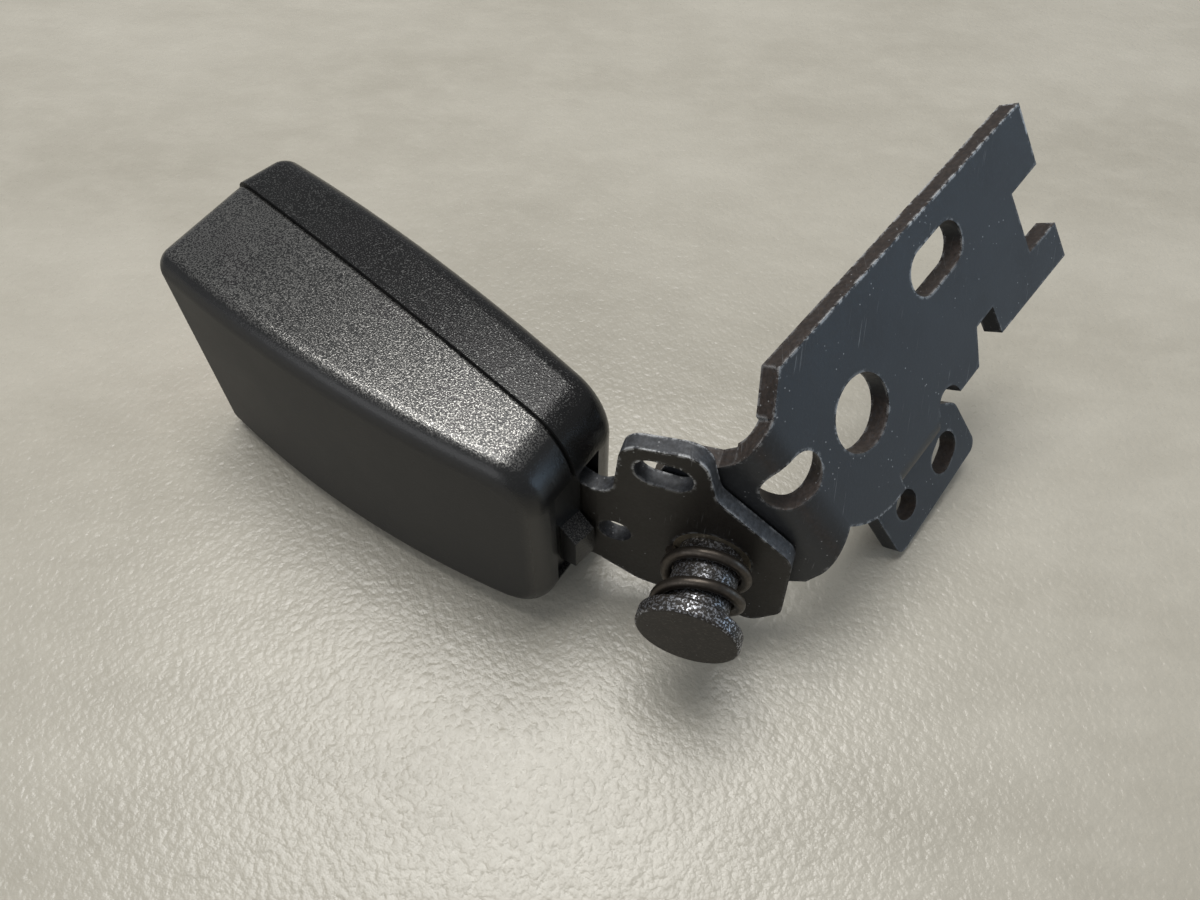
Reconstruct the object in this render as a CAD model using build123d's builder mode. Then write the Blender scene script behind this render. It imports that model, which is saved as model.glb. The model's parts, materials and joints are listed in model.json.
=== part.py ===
from build123d import *
import os
from math import cos, radians, sin, tan

# Seat belt buckle on a pivoting steel strap, with the seat bracket that carries it.
# It lies on its side as on a bench: +Z up, millimetres, the floor at Z = 0.

# ---- buckle body -------------------------------------------------------------
BODY_LENGTH = 86.0        # mouth to strap end along the seam
MOUTH_WIDTH = 47.0        # width across the mouth
END_WIDTH = 42.4          # width across the strap end, before its corners are rounded
SIDE_CROWN = 1.5          # bulge of each long side
END_CORNER = 9.5          # rounding of the two corners at the strap end
FRONT_DEPTH = 22.0        # seam to broad face at the mouth
END_DEPTH = 10.2          # seam to broad face at the strap end
CROWN = 3.7               # bulge of the broad face above its chord
REAR_DEPTH = 11.0         # seam to back face
REAR_CROWN = 1.2
MOUTH_RAKE = 14.2         # degrees, mouth end leaning back towards the broad face
END_RAKE = 9.0            # degrees, strap end leaning the other way
WALL = 2.0
COVER_FILLET = 4.0
SEAM_GROOVE = 0.7         # width and depth of the dark line at the seam
LIP_STEP = 0.35           # how far the rear cover stands proud at the seam
LIP_HEIGHT = 1.2
LIP_WALL = 1.0
LIP_START = 12.0          # the lips run along the straight part of the sides
LIP_ROOT = 3.0            # how far down the rear cover's wall a lip is joined
FIT = 0.2                 # moulded parts that locate in one another
RUN = 0.3                 # moving parts inside the body

# ---- steel frame, tongue path and openings -----------------------------------
FRAME_START = 8.0
FRAME_END = BODY_LENGTH - 18.0
FRAME_HALF = 17.0         # outside of the side walls
FRAME_THICK = 2.0
FRAME_WALL_START = 23.0
FRAME_WALL_END = FRAME_END - 10.0
FRAME_WALL_HEIGHT = 11.0
SLOT_HEIGHT = 4.3         # tongue slot, from the frame floor
WINDOW_START = 26.6       # latch window in the frame
WINDOW_LENGTH = 5.0
WINDOW_HALF = 6.5
END_OPEN_HALF = 13.5      # opening round the strap in the strap end
END_OPEN_FRONT = 5.5
CLIP_INSET = 1.6          # middle of the clip's panel from the strap end
CLIP_PANEL = 2.2
CLIP_REACH = 3.0          # wedge past the strap end
CLIP_WEDGE_TOP = 1.2
CLIP_WEDGE_LOW = -11.4
CLIP_WEDGE_FRONT = 3.2
CLIP_LEG = 12.0           # leg that lies on the strap
CLIP_LEG_HALF = 8.0
CLIP_LEG_THICK = 1.6
GUIDE_SIDE = 2.8          # wall of the tongue guide beside the slot
GUIDE_REAR = 3.5          # its reach behind and before the slot
GUIDE_TOP = 1.0
GUIDE_PAD_X = 5.0         # pads in the rear cover
FRAME_PADS_X = (20.0, 44.0)
STRAP_PAD_X = BODY_LENGTH - 12.0

# ---- anchor strap and its lug ------------------------------------------------
STRAP_THICK = 3.0
STRAP_BEND = 23.7         # degrees between body and lug, in plan
STRAP_BEND_RADIUS = 5.0   # inside
STRAP_BEND_GAP = 0.7      # bend corner past the strap end
TAIL_START = FRAME_END - 14.0  # the tail overlaps the frame, where the rivets are
TAIL_NECK = BODY_LENGTH - 7.0  # where the tail narrows to the neck
TAIL_HALF = 14.0
NECK_LOW = 11.0           # neck edges above the floor
NECK_HIGH = 32.6
STUD_REACH = 22.2         # bend corner to stud axis
STUD_HEIGHT = 22.6
LUG_EYE_LENGTH = 9.6
LUG_EYE_WIDTH = 6.4
LUG_EYE = (-9.8, 19.6)
LUG_PILOT_RADIUS = 3.0
LUG_PILOT = (-17.1, -1.3)

# ---- pivot -------------------------------------------------------------------
STUD_RADIUS = 5.5
HEAD_RADIUS = 8.75
HEAD_THICK = 3.0
STUD_STANDOFF = 12.5      # lug face to underside of head
TENON_RADIUS = 4.0
TENON_HEAD_RADIUS = 6.2
TENON_HEAD = 1.6
BUSH_WALL = 1.2
BUSH_FLANGE = 0.6
BUSH_FLANGE_RADIUS = 10.5
PIVOT_RUN = 0.05          # bush on stud
SPRING_WIRE = 2.0
SPRING_RADIUS = 6.7       # to the wire centre
SPRING_CLOSE_PITCH = 3.0  # first turn, at the lug
SPRING_END_TURN = 0.5     # closed part of a turn under the head

# ---- seat bracket ------------------------------------------------------------
PLATE = 3.6
BEND_INSIDE = 4.0
BEND_ANGLE = 69.0
BEND_TURN = 37.1          # degrees between the bend line and the upright, in the foot
BEND_AT = (9.5, 18.8)     # bend corner in the foot, from the stud axis
BEND_REACH = 31.0         # half of the bend's stock, before its ends are trimmed
PLATE_SKEW = 6.7          # degrees between the plate's edges and the bend
BORE_FROM_BEND = 19.4
BORE_DROP = 0.7
BORE_RADIUS = 6.6
TOP_EDGE = 18.8           # plate edges from the bore centre
TOP_EDGE_FAR = 17.3
LOW_EDGE = 20.0           # outer face of the joggle
ARC_EDGE = 19.0           # arc edge below the bore
FAR_EDGE = 59.9
TOOTH_EDGE = 14.6
SLOT_LENGTH = 15.0
SLOT_WIDTH = 8.3
SLOT_AT = (28.0, 8.9)
CROSS_SLOT_RADIUS = 4.1
CROSS_SLOT_PLATE = 3.8    # end centres of the slot across the bend, from the corner
CROSS_SLOT_FOOT = 1.0
FOOT_RADIUS = 13.0
TAB_DROP = 11.6           # plate face to tab face
TAB_BEND_INSIDE = 1.0
TAB_LEFT = 2.4
TAB_NECK_LEFT = 1.5
TAB_NECK_RIGHT = 14.5
TAB_RIGHT = 33.3
TAB_LOW = 43.6
TAB_HOLE_RADIUS = 3.1
TAB_HOLE_AT = (10.1, -35.9)
TAB_SLOT_AT = (24.2, -35.5)
TAB_SLOT_LENGTH = 8.8
TAB_SLOT_WIDTH = 6.6
RELIEF_RADIUS = 3.3

# ---- button, latch, ejector --------------------------------------------------
BUTTON_TOP = 17.2
BUTTON_LOW = 5.6
BUTTON_BACK = 16.0
BUTTON_SHELL = 1.8
BUTTON_TRAVEL = 5.0
BUTTON_SPRING_Z = 10.0
BUTTON_SPRING_Y = 12.7
BUTTON_SPRING_WIRE = 0.6
BUTTON_SPRING_RADIUS = 2.1
BUTTON_SPRING_START = 10.0
SPRING_RIB_X = 26.0
CLAMP_RIB_X = 45.0        # ribs that press on the frame's side walls
POST_X = BODY_LENGTH - 10.0  # posts that press on the strap
POST_Z = 11.4
POST_RADIUS = 2.2
POST_HEIGHT = 11.6
RIB = 1.6
ARM_LOW = 0.9
ARM_THICK = 1.8
ARM_TIP = 31.8
LATCH_PIN_X = 50.0
LATCH_PIN_Y = 6.8
LATCH_PIN_RADIUS = 1.5
LATCH_BARREL_WALL = 1.3
LATCH_THICK = 2.0
LATCH_LIFT = 4.4          # underside of the latch plate above the frame floor
LATCH_HALF = 9.0
LATCH_EAR_X = (33.0, 36.0)
LATCH_NOSE_HALF = WINDOW_HALF - 0.5
NOSE_X = WINDOW_START + 1.4
NOSE_LENGTH = 2.4
LATCH_SPRING_X = 40.0
LATCH_SPRING_RADIUS = 2.2
LATCH_SPRING_WIRE = 0.6
LATCH_SPRING_SEAT = 14.6
EJECTOR_START = 32.2
EJECTOR_LENGTH = 7.0
EJECTOR_HALF = 9.0
EJECTOR_SPRING_RADIUS = 1.35
EJECTOR_SPRING_WIRE = 0.5
EJECTOR_STOP_X = FRAME_WALL_END + 3.0
RIVET_RADIUS = 2.5
RIVET_HEAD_RADIUS = 3.8
RIVET_HEAD = 1.3
RIVET_X = FRAME_END - 5.5
RIVET_HALF = 10.0

# ---- derived sizes -----------------------------------------------------------
ARM_INSIDE = FRAME_HALF - FRAME_THICK - RUN - ARM_THICK
SLOT_HALF = ARM_INSIDE - FIT
BUTTON_HALF = FRAME_HALF - 2 * RUN
LATCH_EAR_HALF = FRAME_HALF - FRAME_THICK - 2 * RUN
GUIDE_START = WALL + FIT
REAR_PAD_END = REAR_DEPTH - WALL / 2 + REAR_CROWN / 2
LIP_END = BODY_LENGTH - END_CORNER - 0.5
STRAP_FACE = FRAME_THICK  # front face of the strap, behind the frame floor
BEND_OUTSIDE = BEND_INSIDE + PLATE
BEND_SETBACK = BEND_OUTSIDE * tan(radians(BEND_ANGLE / 2))
STRAP_OUTSIDE = STRAP_BEND_RADIUS + STRAP_THICK
STRAP_SETBACK = STRAP_OUTSIDE * tan(radians(STRAP_BEND / 2))
BUSH_RADIUS = STUD_RADIUS + PIVOT_RUN + BUSH_WALL
FOOT_FACE = STRAP_THICK + BUSH_FLANGE


def half_width(x):
    """Half of the body's width at a distance from the mouth."""
    share = x / BODY_LENGTH
    chord = MOUTH_WIDTH / 2 - share * (MOUTH_WIDTH - END_WIDTH) / 2
    return chord + 4 * SIDE_CROWN * share * (1 - share)


def mouth_x(y):
    return -y * tan(radians(MOUTH_RAKE))


def end_x(y):
    return BODY_LENGTH - y * tan(radians(END_RAKE))


def on(base, plane):
    return Plane(base.location * plane.location)


def shell_form(depth_mouth, depth_end, crown, side, inset):
    """One half of the body as a closed rounded form, running on past the seam.

    side is -1 towards the broad face and 1 towards the back face. The mouth end of the
    back half is square."""
    over = -side * 2 * COVER_FILLET
    lean = 1 if side < 0 else 0
    mouth_foot = (lean * mouth_x(side * depth_mouth), side * depth_mouth)
    end_foot = (end_x(side * depth_end), side * depth_end)
    middle = (
        (mouth_foot[0] + end_foot[0]) / 2,
        side * ((depth_mouth + depth_end) / 2 + crown),
    )
    low, high = -REAR_DEPTH, BODY_LENGTH + REAR_DEPTH
    centre = BODY_LENGTH / 2
    with BuildPart() as form:
        with BuildSketch(body):
            with BuildLine():
                Line((lean * mouth_x(over), over), mouth_foot)
                ThreePointArc(mouth_foot, middle, end_foot)
                Line(end_foot, (end_x(over), over))
                Line((end_x(over), over), (lean * mouth_x(over), over))
            make_face()
            offset(amount=-inset, kind=Kind.INTERSECTION)
        extrude(amount=MOUTH_WIDTH, both=True)
        with BuildSketch(body_front):
            with BuildLine():
                for way in (1, -1):
                    ThreePointArc(
                        (low, way * half_width(low)),
                        (centre, way * half_width(centre)),
                        (high, way * half_width(high)),
                    )
                for x in (low, high):
                    Line((x, -half_width(x)), (x, half_width(x)))
            make_face()
            offset(amount=-inset, kind=Kind.INTERSECTION)
        extrude(amount=2 * MOUTH_WIDTH, both=True, mode=Mode.INTERSECT)
        across = [
            e for e in form.edges() if abs((e @ 1 - e @ 0).normalized().dot(body.y_dir)) > 0.9
        ]
        ends = ShapeList(across).sort_by(Axis(body.origin, body.x_dir))
        shrink = max(inset, 0)
        fillet(ends[-2:], END_CORNER - shrink)
        fillet(ends[:2], COVER_FILLET - shrink)
        broad = form.faces().sort_by(Axis(body.origin, body.y_dir * side))[-1]
        fillet(broad.edges(), COVER_FILLET - shrink)
    return form.part


# ---- frames of reference -----------------------------------------------------
# The body's own frame: x from mouth to strap end, y from broad face to back face,
# z across. It lies on the widest part of its lower side.
END_X = 22.034            # strap end of the seam in the row frame
SEAM_Y = -38.688
WIDEST = BODY_LENGTH / 2 * (1 - (MOUTH_WIDTH - END_WIDTH) / 8 / SIDE_CROWN)
body = Plane(
    origin=(END_X - BODY_LENGTH, SEAM_Y, LIP_STEP + half_width(WIDEST)),
    x_dir=(1, 0, 0),
    z_dir=(0, 0, 1),
)
body_front = on(body, Plane.XZ)
bend_turn = radians(STRAP_BEND)
lug = Plane(
    origin=(END_X + STRAP_BEND_GAP, SEAM_Y + STRAP_FACE, LIP_STEP),
    x_dir=(cos(bend_turn), sin(bend_turn), 0),
    z_dir=(sin(bend_turn), -cos(bend_turn), 0),
)
strap_plan = Plane(origin=(END_X + STRAP_BEND_GAP, SEAM_Y + STRAP_FACE, LIP_STEP))
stud = on(lug, Plane.XY.move(Location((STUD_REACH, STUD_HEIGHT, 0))))
foot = stud.offset(-FOOT_FACE)
bend = on(foot, Plane(Location((BEND_AT[0], BEND_AT[1], 0), (0, 0, BEND_TURN))))
plate_bend = on(bend, Plane(Location((0, 0, 0), (0, BEND_ANGLE, 0))))
plate_turned = on(plate_bend, Plane(Location((0, 0, 0), (0, 0, -PLATE_SKEW))))
plate = on(plate_turned, Plane(Location((BORE_FROM_BEND, -BORE_DROP, 0))))

os.makedirs("parts", exist_ok=True)


front_outer = shell_form(FRONT_DEPTH, END_DEPTH, CROWN, -1, 0)
front_inner = shell_form(FRONT_DEPTH, END_DEPTH, CROWN, -1, WALL)
seam_core = shell_form(FRONT_DEPTH, END_DEPTH, CROWN, -1, SEAM_GROOVE)
rear_outer = shell_form(REAR_DEPTH, REAR_DEPTH, REAR_CROWN, 1, -LIP_STEP)
rear_inner = shell_form(REAR_DEPTH, REAR_DEPTH, REAR_CROWN, 1, WALL)
rear_skin = shell_form(REAR_DEPTH, REAR_DEPTH, REAR_CROWN, 1, WALL / 2)
lip_outer = shell_form(FRONT_DEPTH, END_DEPTH, CROWN, -1, WALL + FIT)
lip_core = shell_form(FRONT_DEPTH, END_DEPTH, CROWN, -1, WALL + FIT + LIP_WALL)

# ring that is cut from the front cover's rim to leave the dark line at the seam
with BuildPart() as seam_ring:
    with BuildSketch(body_front):
        with Locations((BODY_LENGTH / 2, 0)):
            Rectangle(2 * BODY_LENGTH, 2 * MOUTH_WIDTH)
    extrude(amount=SEAM_GROOVE)
    add(seam_core, mode=Mode.SUBTRACT)

# ---- front cover: deep moulded shell with the broad face ---------------------
with BuildPart() as front_cover:
    add(front_outer)
    split(bisect_by=body_front, keep=Keep.TOP)
    add(front_inner, mode=Mode.SUBTRACT)
    add(seam_ring.part, mode=Mode.SUBTRACT)
    # mouth opening for the button and the tongue
    with BuildSketch(body_front):
        with Locations((0, 0)):
            Rectangle(2 * (GUIDE_START + 2 * WALL + COVER_FILLET), 2 * (BUTTON_HALF + RUN))
    extrude(amount=BUTTON_TOP + RUN, mode=Mode.SUBTRACT)
    # opening round the strap
    with BuildSketch(body_front):
        with Locations((BODY_LENGTH, 0)):
            Rectangle(4 * WALL, 2 * END_OPEN_HALF)
    extrude(amount=END_OPEN_FRONT, mode=Mode.SUBTRACT)
    # rib that the button springs push against
    rib_start = FRAME_WALL_HEIGHT + FIT
    with BuildSketch(body_front.offset(rib_start)):
        with Locations((SPRING_RIB_X + RIB / 2, 0)):
            Rectangle(RIB, 2 * half_width(SPRING_RIB_X) - 2 * WALL + 1)
    extrude(amount=FRONT_DEPTH - WALL / 2 - 0.4 - rib_start)
    # ribs that press on the frame's side walls
    with BuildSketch(body_front.offset(FRAME_WALL_HEIGHT)):
        with Locations((CLAMP_RIB_X, FRAME_HALF), (CLAMP_RIB_X, -FRAME_HALF)):
            Rectangle(RIB, 2 * FRAME_THICK)
    extrude(amount=7.8)
    # seat and spigot of the latch spring
    with BuildSketch(body_front.offset(LATCH_SPRING_SEAT)):
        with Locations((LATCH_SPRING_X, 0)):
            Circle(LATCH_SPRING_RADIUS + 1)
    extrude(amount=4.4)
    with BuildSketch(body_front.offset(LATCH_SPRING_SEAT - 2.4)):
        with Locations((LATCH_SPRING_X, 0)):
            Circle(LATCH_SPRING_RADIUS - LATCH_SPRING_WIRE - FIT)
    extrude(amount=3)
    # posts that hold the strap against the rear cover
    with BuildSketch(body_front.offset(-STRAP_FACE)):
        with Locations((POST_X, POST_Z), (POST_X, -POST_Z)):
            Circle(POST_RADIUS)
    extrude(amount=STRAP_FACE + POST_HEIGHT)

# ---- rear cover: shallow shell, slightly proud at the seam -------------------
with BuildPart() as lips:
    with BuildSketch(body_front.offset(-LIP_ROOT)):
        for side in (1, -1):
            with Locations(((LIP_START + LIP_END) / 2, side * MOUTH_WIDTH / 2)):
                Rectangle(LIP_END - LIP_START, MOUTH_WIDTH / 2)
    extrude(amount=LIP_ROOT + LIP_HEIGHT)
    add(lip_outer, mode=Mode.INTERSECT)
    add(lip_core, mode=Mode.SUBTRACT)
with BuildPart() as lip_roots:
    with BuildSketch(body_front.offset(-LIP_ROOT)):
        for side in (1, -1):
            with Locations(((LIP_START + LIP_END) / 2, side * MOUTH_WIDTH / 2)):
                Rectangle(LIP_END - LIP_START, MOUTH_WIDTH / 2)
    extrude(amount=LIP_ROOT)
    add(rear_skin, mode=Mode.INTERSECT)
    add(lip_core, mode=Mode.SUBTRACT)
with BuildPart() as rear_cover:
    add(rear_outer)
    split(bisect_by=body_front, keep=Keep.BOTTOM)
    add(rear_inner, mode=Mode.SUBTRACT)
    # lips that locate inside the front cover, one along each side
    add(lip_roots.part)
    add(lips.part)
    # pads that carry the frame and the strap
    with BuildSketch(body_front.offset(-FRAME_THICK)):
        for x in FRAME_PADS_X:
            with Locations((x, FRAME_HALF - 4), (x, 4 - FRAME_HALF)):
                Rectangle(RIB, 7)
    extrude(amount=FRAME_THICK - REAR_PAD_END)
    with BuildSketch(body_front.offset(-STRAP_FACE - STRAP_THICK)):
        with Locations((STRAP_PAD_X, 9), (STRAP_PAD_X, -9)):
            Rectangle(RIB, 8)
    extrude(amount=STRAP_FACE + STRAP_THICK - REAR_PAD_END)
    with BuildSketch(body_front.offset(-GUIDE_REAR)):
        with Locations((GUIDE_PAD_X, SLOT_HALF - 2), (GUIDE_PAD_X, 2 - SLOT_HALF)):
            Rectangle(RIB, 6)
    extrude(amount=GUIDE_REAR - REAR_PAD_END)
    # opening round the strap
    with BuildSketch(body_front):
        with Locations((BODY_LENGTH, 0)):
            Rectangle(4 * WALL, 2 * END_OPEN_HALF)
    extrude(amount=-(STRAP_FACE + STRAP_THICK + 1.2), mode=Mode.SUBTRACT)

# ---- frame: steel channel that guides the tongue and carries the latch -------
with BuildPart() as buckle_frame:
    with BuildSketch(body_front.offset(-FRAME_THICK)):
        with Locations(((FRAME_START + FRAME_END) / 2, 0)):
            Rectangle(FRAME_END - FRAME_START, 2 * FRAME_HALF)
    extrude(amount=FRAME_THICK)
    for side in (1, -1):
        with BuildSketch(on(body, Plane.XY.offset(side * (FRAME_HALF - FRAME_THICK / 2)))):
            with BuildLine():
                Polyline(
                    (FRAME_WALL_START - 4, 0),
                    (FRAME_WALL_START, -3),
                    (FRAME_WALL_START + 3, -FRAME_WALL_HEIGHT),
                    (FRAME_WALL_END - 5, -FRAME_WALL_HEIGHT),
                    (FRAME_WALL_END, -4),
                    (FRAME_WALL_END + 4, 0),
                    close=True,
                )
            make_face()
            with Locations((LATCH_PIN_X, -LATCH_PIN_Y)):
                Circle(LATCH_PIN_RADIUS, mode=Mode.SUBTRACT)
        extrude(amount=FRAME_THICK / 2, both=True)
    corners = buckle_frame.edges().filter_by(Axis((0, 0, 0), body.y_dir))
    fillet(corners.group_by(Axis(body.origin, body.x_dir))[0], 3)
    # window for the latch nose and holes for the rivets
    with BuildSketch(body_front.offset(-FRAME_THICK)):
        with Locations((WINDOW_START + WINDOW_LENGTH / 2, 0)):
            RectangleRounded(WINDOW_LENGTH, 2 * WINDOW_HALF, 1)
        with Locations((RIVET_X, RIVET_HALF), (RIVET_X, -RIVET_HALF)):
            Circle(RIVET_RADIUS)
    extrude(amount=FRAME_THICK, mode=Mode.SUBTRACT)
    # lanced stop behind the ejector spring
    with BuildSketch(body_front):
        with Locations((EJECTOR_STOP_X + FRAME_THICK / 4, 0)):
            Rectangle(FRAME_THICK / 2, 6)
    extrude(amount=5)

with BuildPart() as frame_rivets:
    for z in (RIVET_HALF, -RIVET_HALF):
        with BuildSketch(body_front.offset(-FRAME_THICK - STRAP_THICK)):
            with Locations((RIVET_X, z)):
                Circle(RIVET_RADIUS)
        extrude(amount=FRAME_THICK + STRAP_THICK)
        for start, way in ((0, 1), (-FRAME_THICK - STRAP_THICK, -1)):
            with BuildSketch(body_front.offset(start)):
                with Locations((RIVET_X, z)):
                    Circle(RIVET_HEAD_RADIUS)
            extrude(amount=way * RIVET_HEAD, taper=20)

# ---- anchor strap: tail in the body, bend, and the lug on the pivot ----------
tail_points = [
    body.from_local_coords(Vector(x, 0, z)) - strap_plan.origin
    for x, z in (
        (TAIL_NECK, TAIL_HALF),
        (TAIL_START, TAIL_HALF),
        (TAIL_START, -TAIL_HALF),
        (TAIL_NECK, -TAIL_HALF),
    )
]
strap_front = Plane(origin=strap_plan.origin, x_dir=(1, 0, 0), z_dir=(0, -1, 0))
NECK_END = STRAP_SETBACK - STUD_REACH
with BuildPart() as anchor_strap:
    with BuildSketch(strap_front):
        with BuildLine():
            Polyline(
                (-STRAP_SETBACK, NECK_HIGH),
                (-STRAP_SETBACK - 3, NECK_HIGH),
                *[(p.X, p.Z) for p in tail_points],
                (-STRAP_SETBACK - 3, NECK_LOW),
                (-STRAP_SETBACK, NECK_LOW),
                close=True,
            )
        make_face()
    extrude(amount=-STRAP_THICK)
    with BuildSketch(body_front.offset(-STRAP_FACE)):
        with Locations((RIVET_X, RIVET_HALF), (RIVET_X, -RIVET_HALF)):
            Circle(RIVET_RADIUS)
    extrude(amount=-STRAP_THICK, mode=Mode.SUBTRACT)
    with BuildSketch(strap_plan.offset(NECK_LOW)):
        with BuildLine():
            centre = (-STRAP_SETBACK, STRAP_OUTSIDE)
            front_arc = CenterArc(centre, STRAP_OUTSIDE, -90, STRAP_BEND)
            back_arc = CenterArc(centre, STRAP_BEND_RADIUS, -90, STRAP_BEND)
            Line(front_arc @ 0, back_arc @ 0)
            Line(front_arc @ 1, back_arc @ 1)
        make_face()
    extrude(amount=NECK_HIGH - NECK_LOW)
    with BuildSketch(stud):
        with BuildLine():
            outline = FilletPolyline(
                (NECK_END, NECK_HIGH - STUD_HEIGHT),
                (-17.9, 10.6),
                (-17.0, 24.5),
                (-3.9, 27.0),
                (-1.1, 17.0),
                (12.9, 5.6),
                (14.1, -12.6),
                (9.5, -18.4),
                (-12.3, -16.0),
                (NECK_END, NECK_LOW - STUD_HEIGHT),
                radius=(3, 4, 4, 4, 5, 4, 3, 6),
            )
            Line(outline @ 1, outline @ 0)
        make_face()
        Circle(BUSH_RADIUS, mode=Mode.SUBTRACT)
        with Locations(LUG_EYE):
            SlotOverall(LUG_EYE_LENGTH, LUG_EYE_WIDTH, mode=Mode.SUBTRACT)
        with Locations(LUG_PILOT):
            Circle(LUG_PILOT_RADIUS, mode=Mode.SUBTRACT)
    extrude(amount=-STRAP_THICK)

# ---- pivot: stud riveted to the bracket, bush pressed in the lug, spring -----
with BuildPart() as pivot_stud:
    with BuildSketch(on(stud, Plane.XZ)):
        with BuildLine():
            Polyline(
                (0, STUD_STANDOFF + HEAD_THICK),
                (HEAD_RADIUS, STUD_STANDOFF + HEAD_THICK),
                (HEAD_RADIUS, STUD_STANDOFF),
                (STUD_RADIUS, STUD_STANDOFF),
                (STUD_RADIUS, -FOOT_FACE),
                (TENON_RADIUS, -FOOT_FACE),
                (TENON_RADIUS, -FOOT_FACE - PLATE),
                (TENON_HEAD_RADIUS, -FOOT_FACE - PLATE),
                (TENON_HEAD_RADIUS - 1.2, -FOOT_FACE - PLATE - TENON_HEAD),
                (0, -FOOT_FACE - PLATE - TENON_HEAD),
                close=True,
            )
        make_face()
    revolve(axis=Axis(stud.origin, stud.z_dir))
    rims = pivot_stud.edges().filter_by(GeomType.CIRCLE).filter_by(
        lambda e: abs(e.radius - HEAD_RADIUS) < 0.01
    )
    fillet(rims, 0.7)

with BuildPart() as pivot_bush:
    with BuildSketch(stud.offset(-FOOT_FACE)):
        Circle(BUSH_FLANGE_RADIUS)
    extrude(amount=BUSH_FLANGE)
    with BuildSketch(stud.offset(-FOOT_FACE)):
        Circle(BUSH_RADIUS)
    extrude(amount=FOOT_FACE)
    with BuildSketch(stud.offset(-FOOT_FACE)):
        Circle(STUD_RADIUS + PIVOT_RUN)
    extrude(amount=FOOT_FACE, mode=Mode.SUBTRACT)

SPRING_REST = STUD_STANDOFF - SPRING_WIRE - FIT
SPRING_END = SPRING_END_TURN * SPRING_WIRE
SPRING_OPEN_PITCH = SPRING_REST - SPRING_CLOSE_PITCH - SPRING_END
with BuildPart() as pivot_spring:
    height = (SPRING_WIRE + FIT) / 2
    for pitch, rise in (
        (SPRING_CLOSE_PITCH, SPRING_CLOSE_PITCH),
        (SPRING_OPEN_PITCH, SPRING_OPEN_PITCH),
        (SPRING_WIRE, SPRING_END),
    ):
        with BuildLine() as coil:
            Helix(
                pitch=pitch,
                height=rise,
                radius=SPRING_RADIUS,
                center=stud.offset(height).origin,
                direction=stud.z_dir,
            )
        with BuildSketch(Plane(origin=coil.line @ 0, z_dir=coil.line % 0)):
            Circle(SPRING_WIRE / 2)
        sweep(path=coil.line, is_frenet=True)
        height += rise

# ---- bracket: one bent plate with a joggled tab ------------------------------
bend_p = (cos(radians(BEND_TURN)), sin(radians(BEND_TURN)))


def foot_at(across, along):
    """Point of the foot, from distances across and along the bend line."""
    return (
        BEND_AT[0] + across * bend_p[0] - along * bend_p[1],
        BEND_AT[1] + across * bend_p[1] + along * bend_p[0],
    )


def plate_at(across, along):
    """Point of the main plate, from distances across and along the bend line."""
    skew = radians(PLATE_SKEW)
    return (
        across * cos(skew) - along * sin(skew) - BORE_FROM_BEND,
        across * sin(skew) + along * cos(skew) + BORE_DROP,
    )


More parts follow.
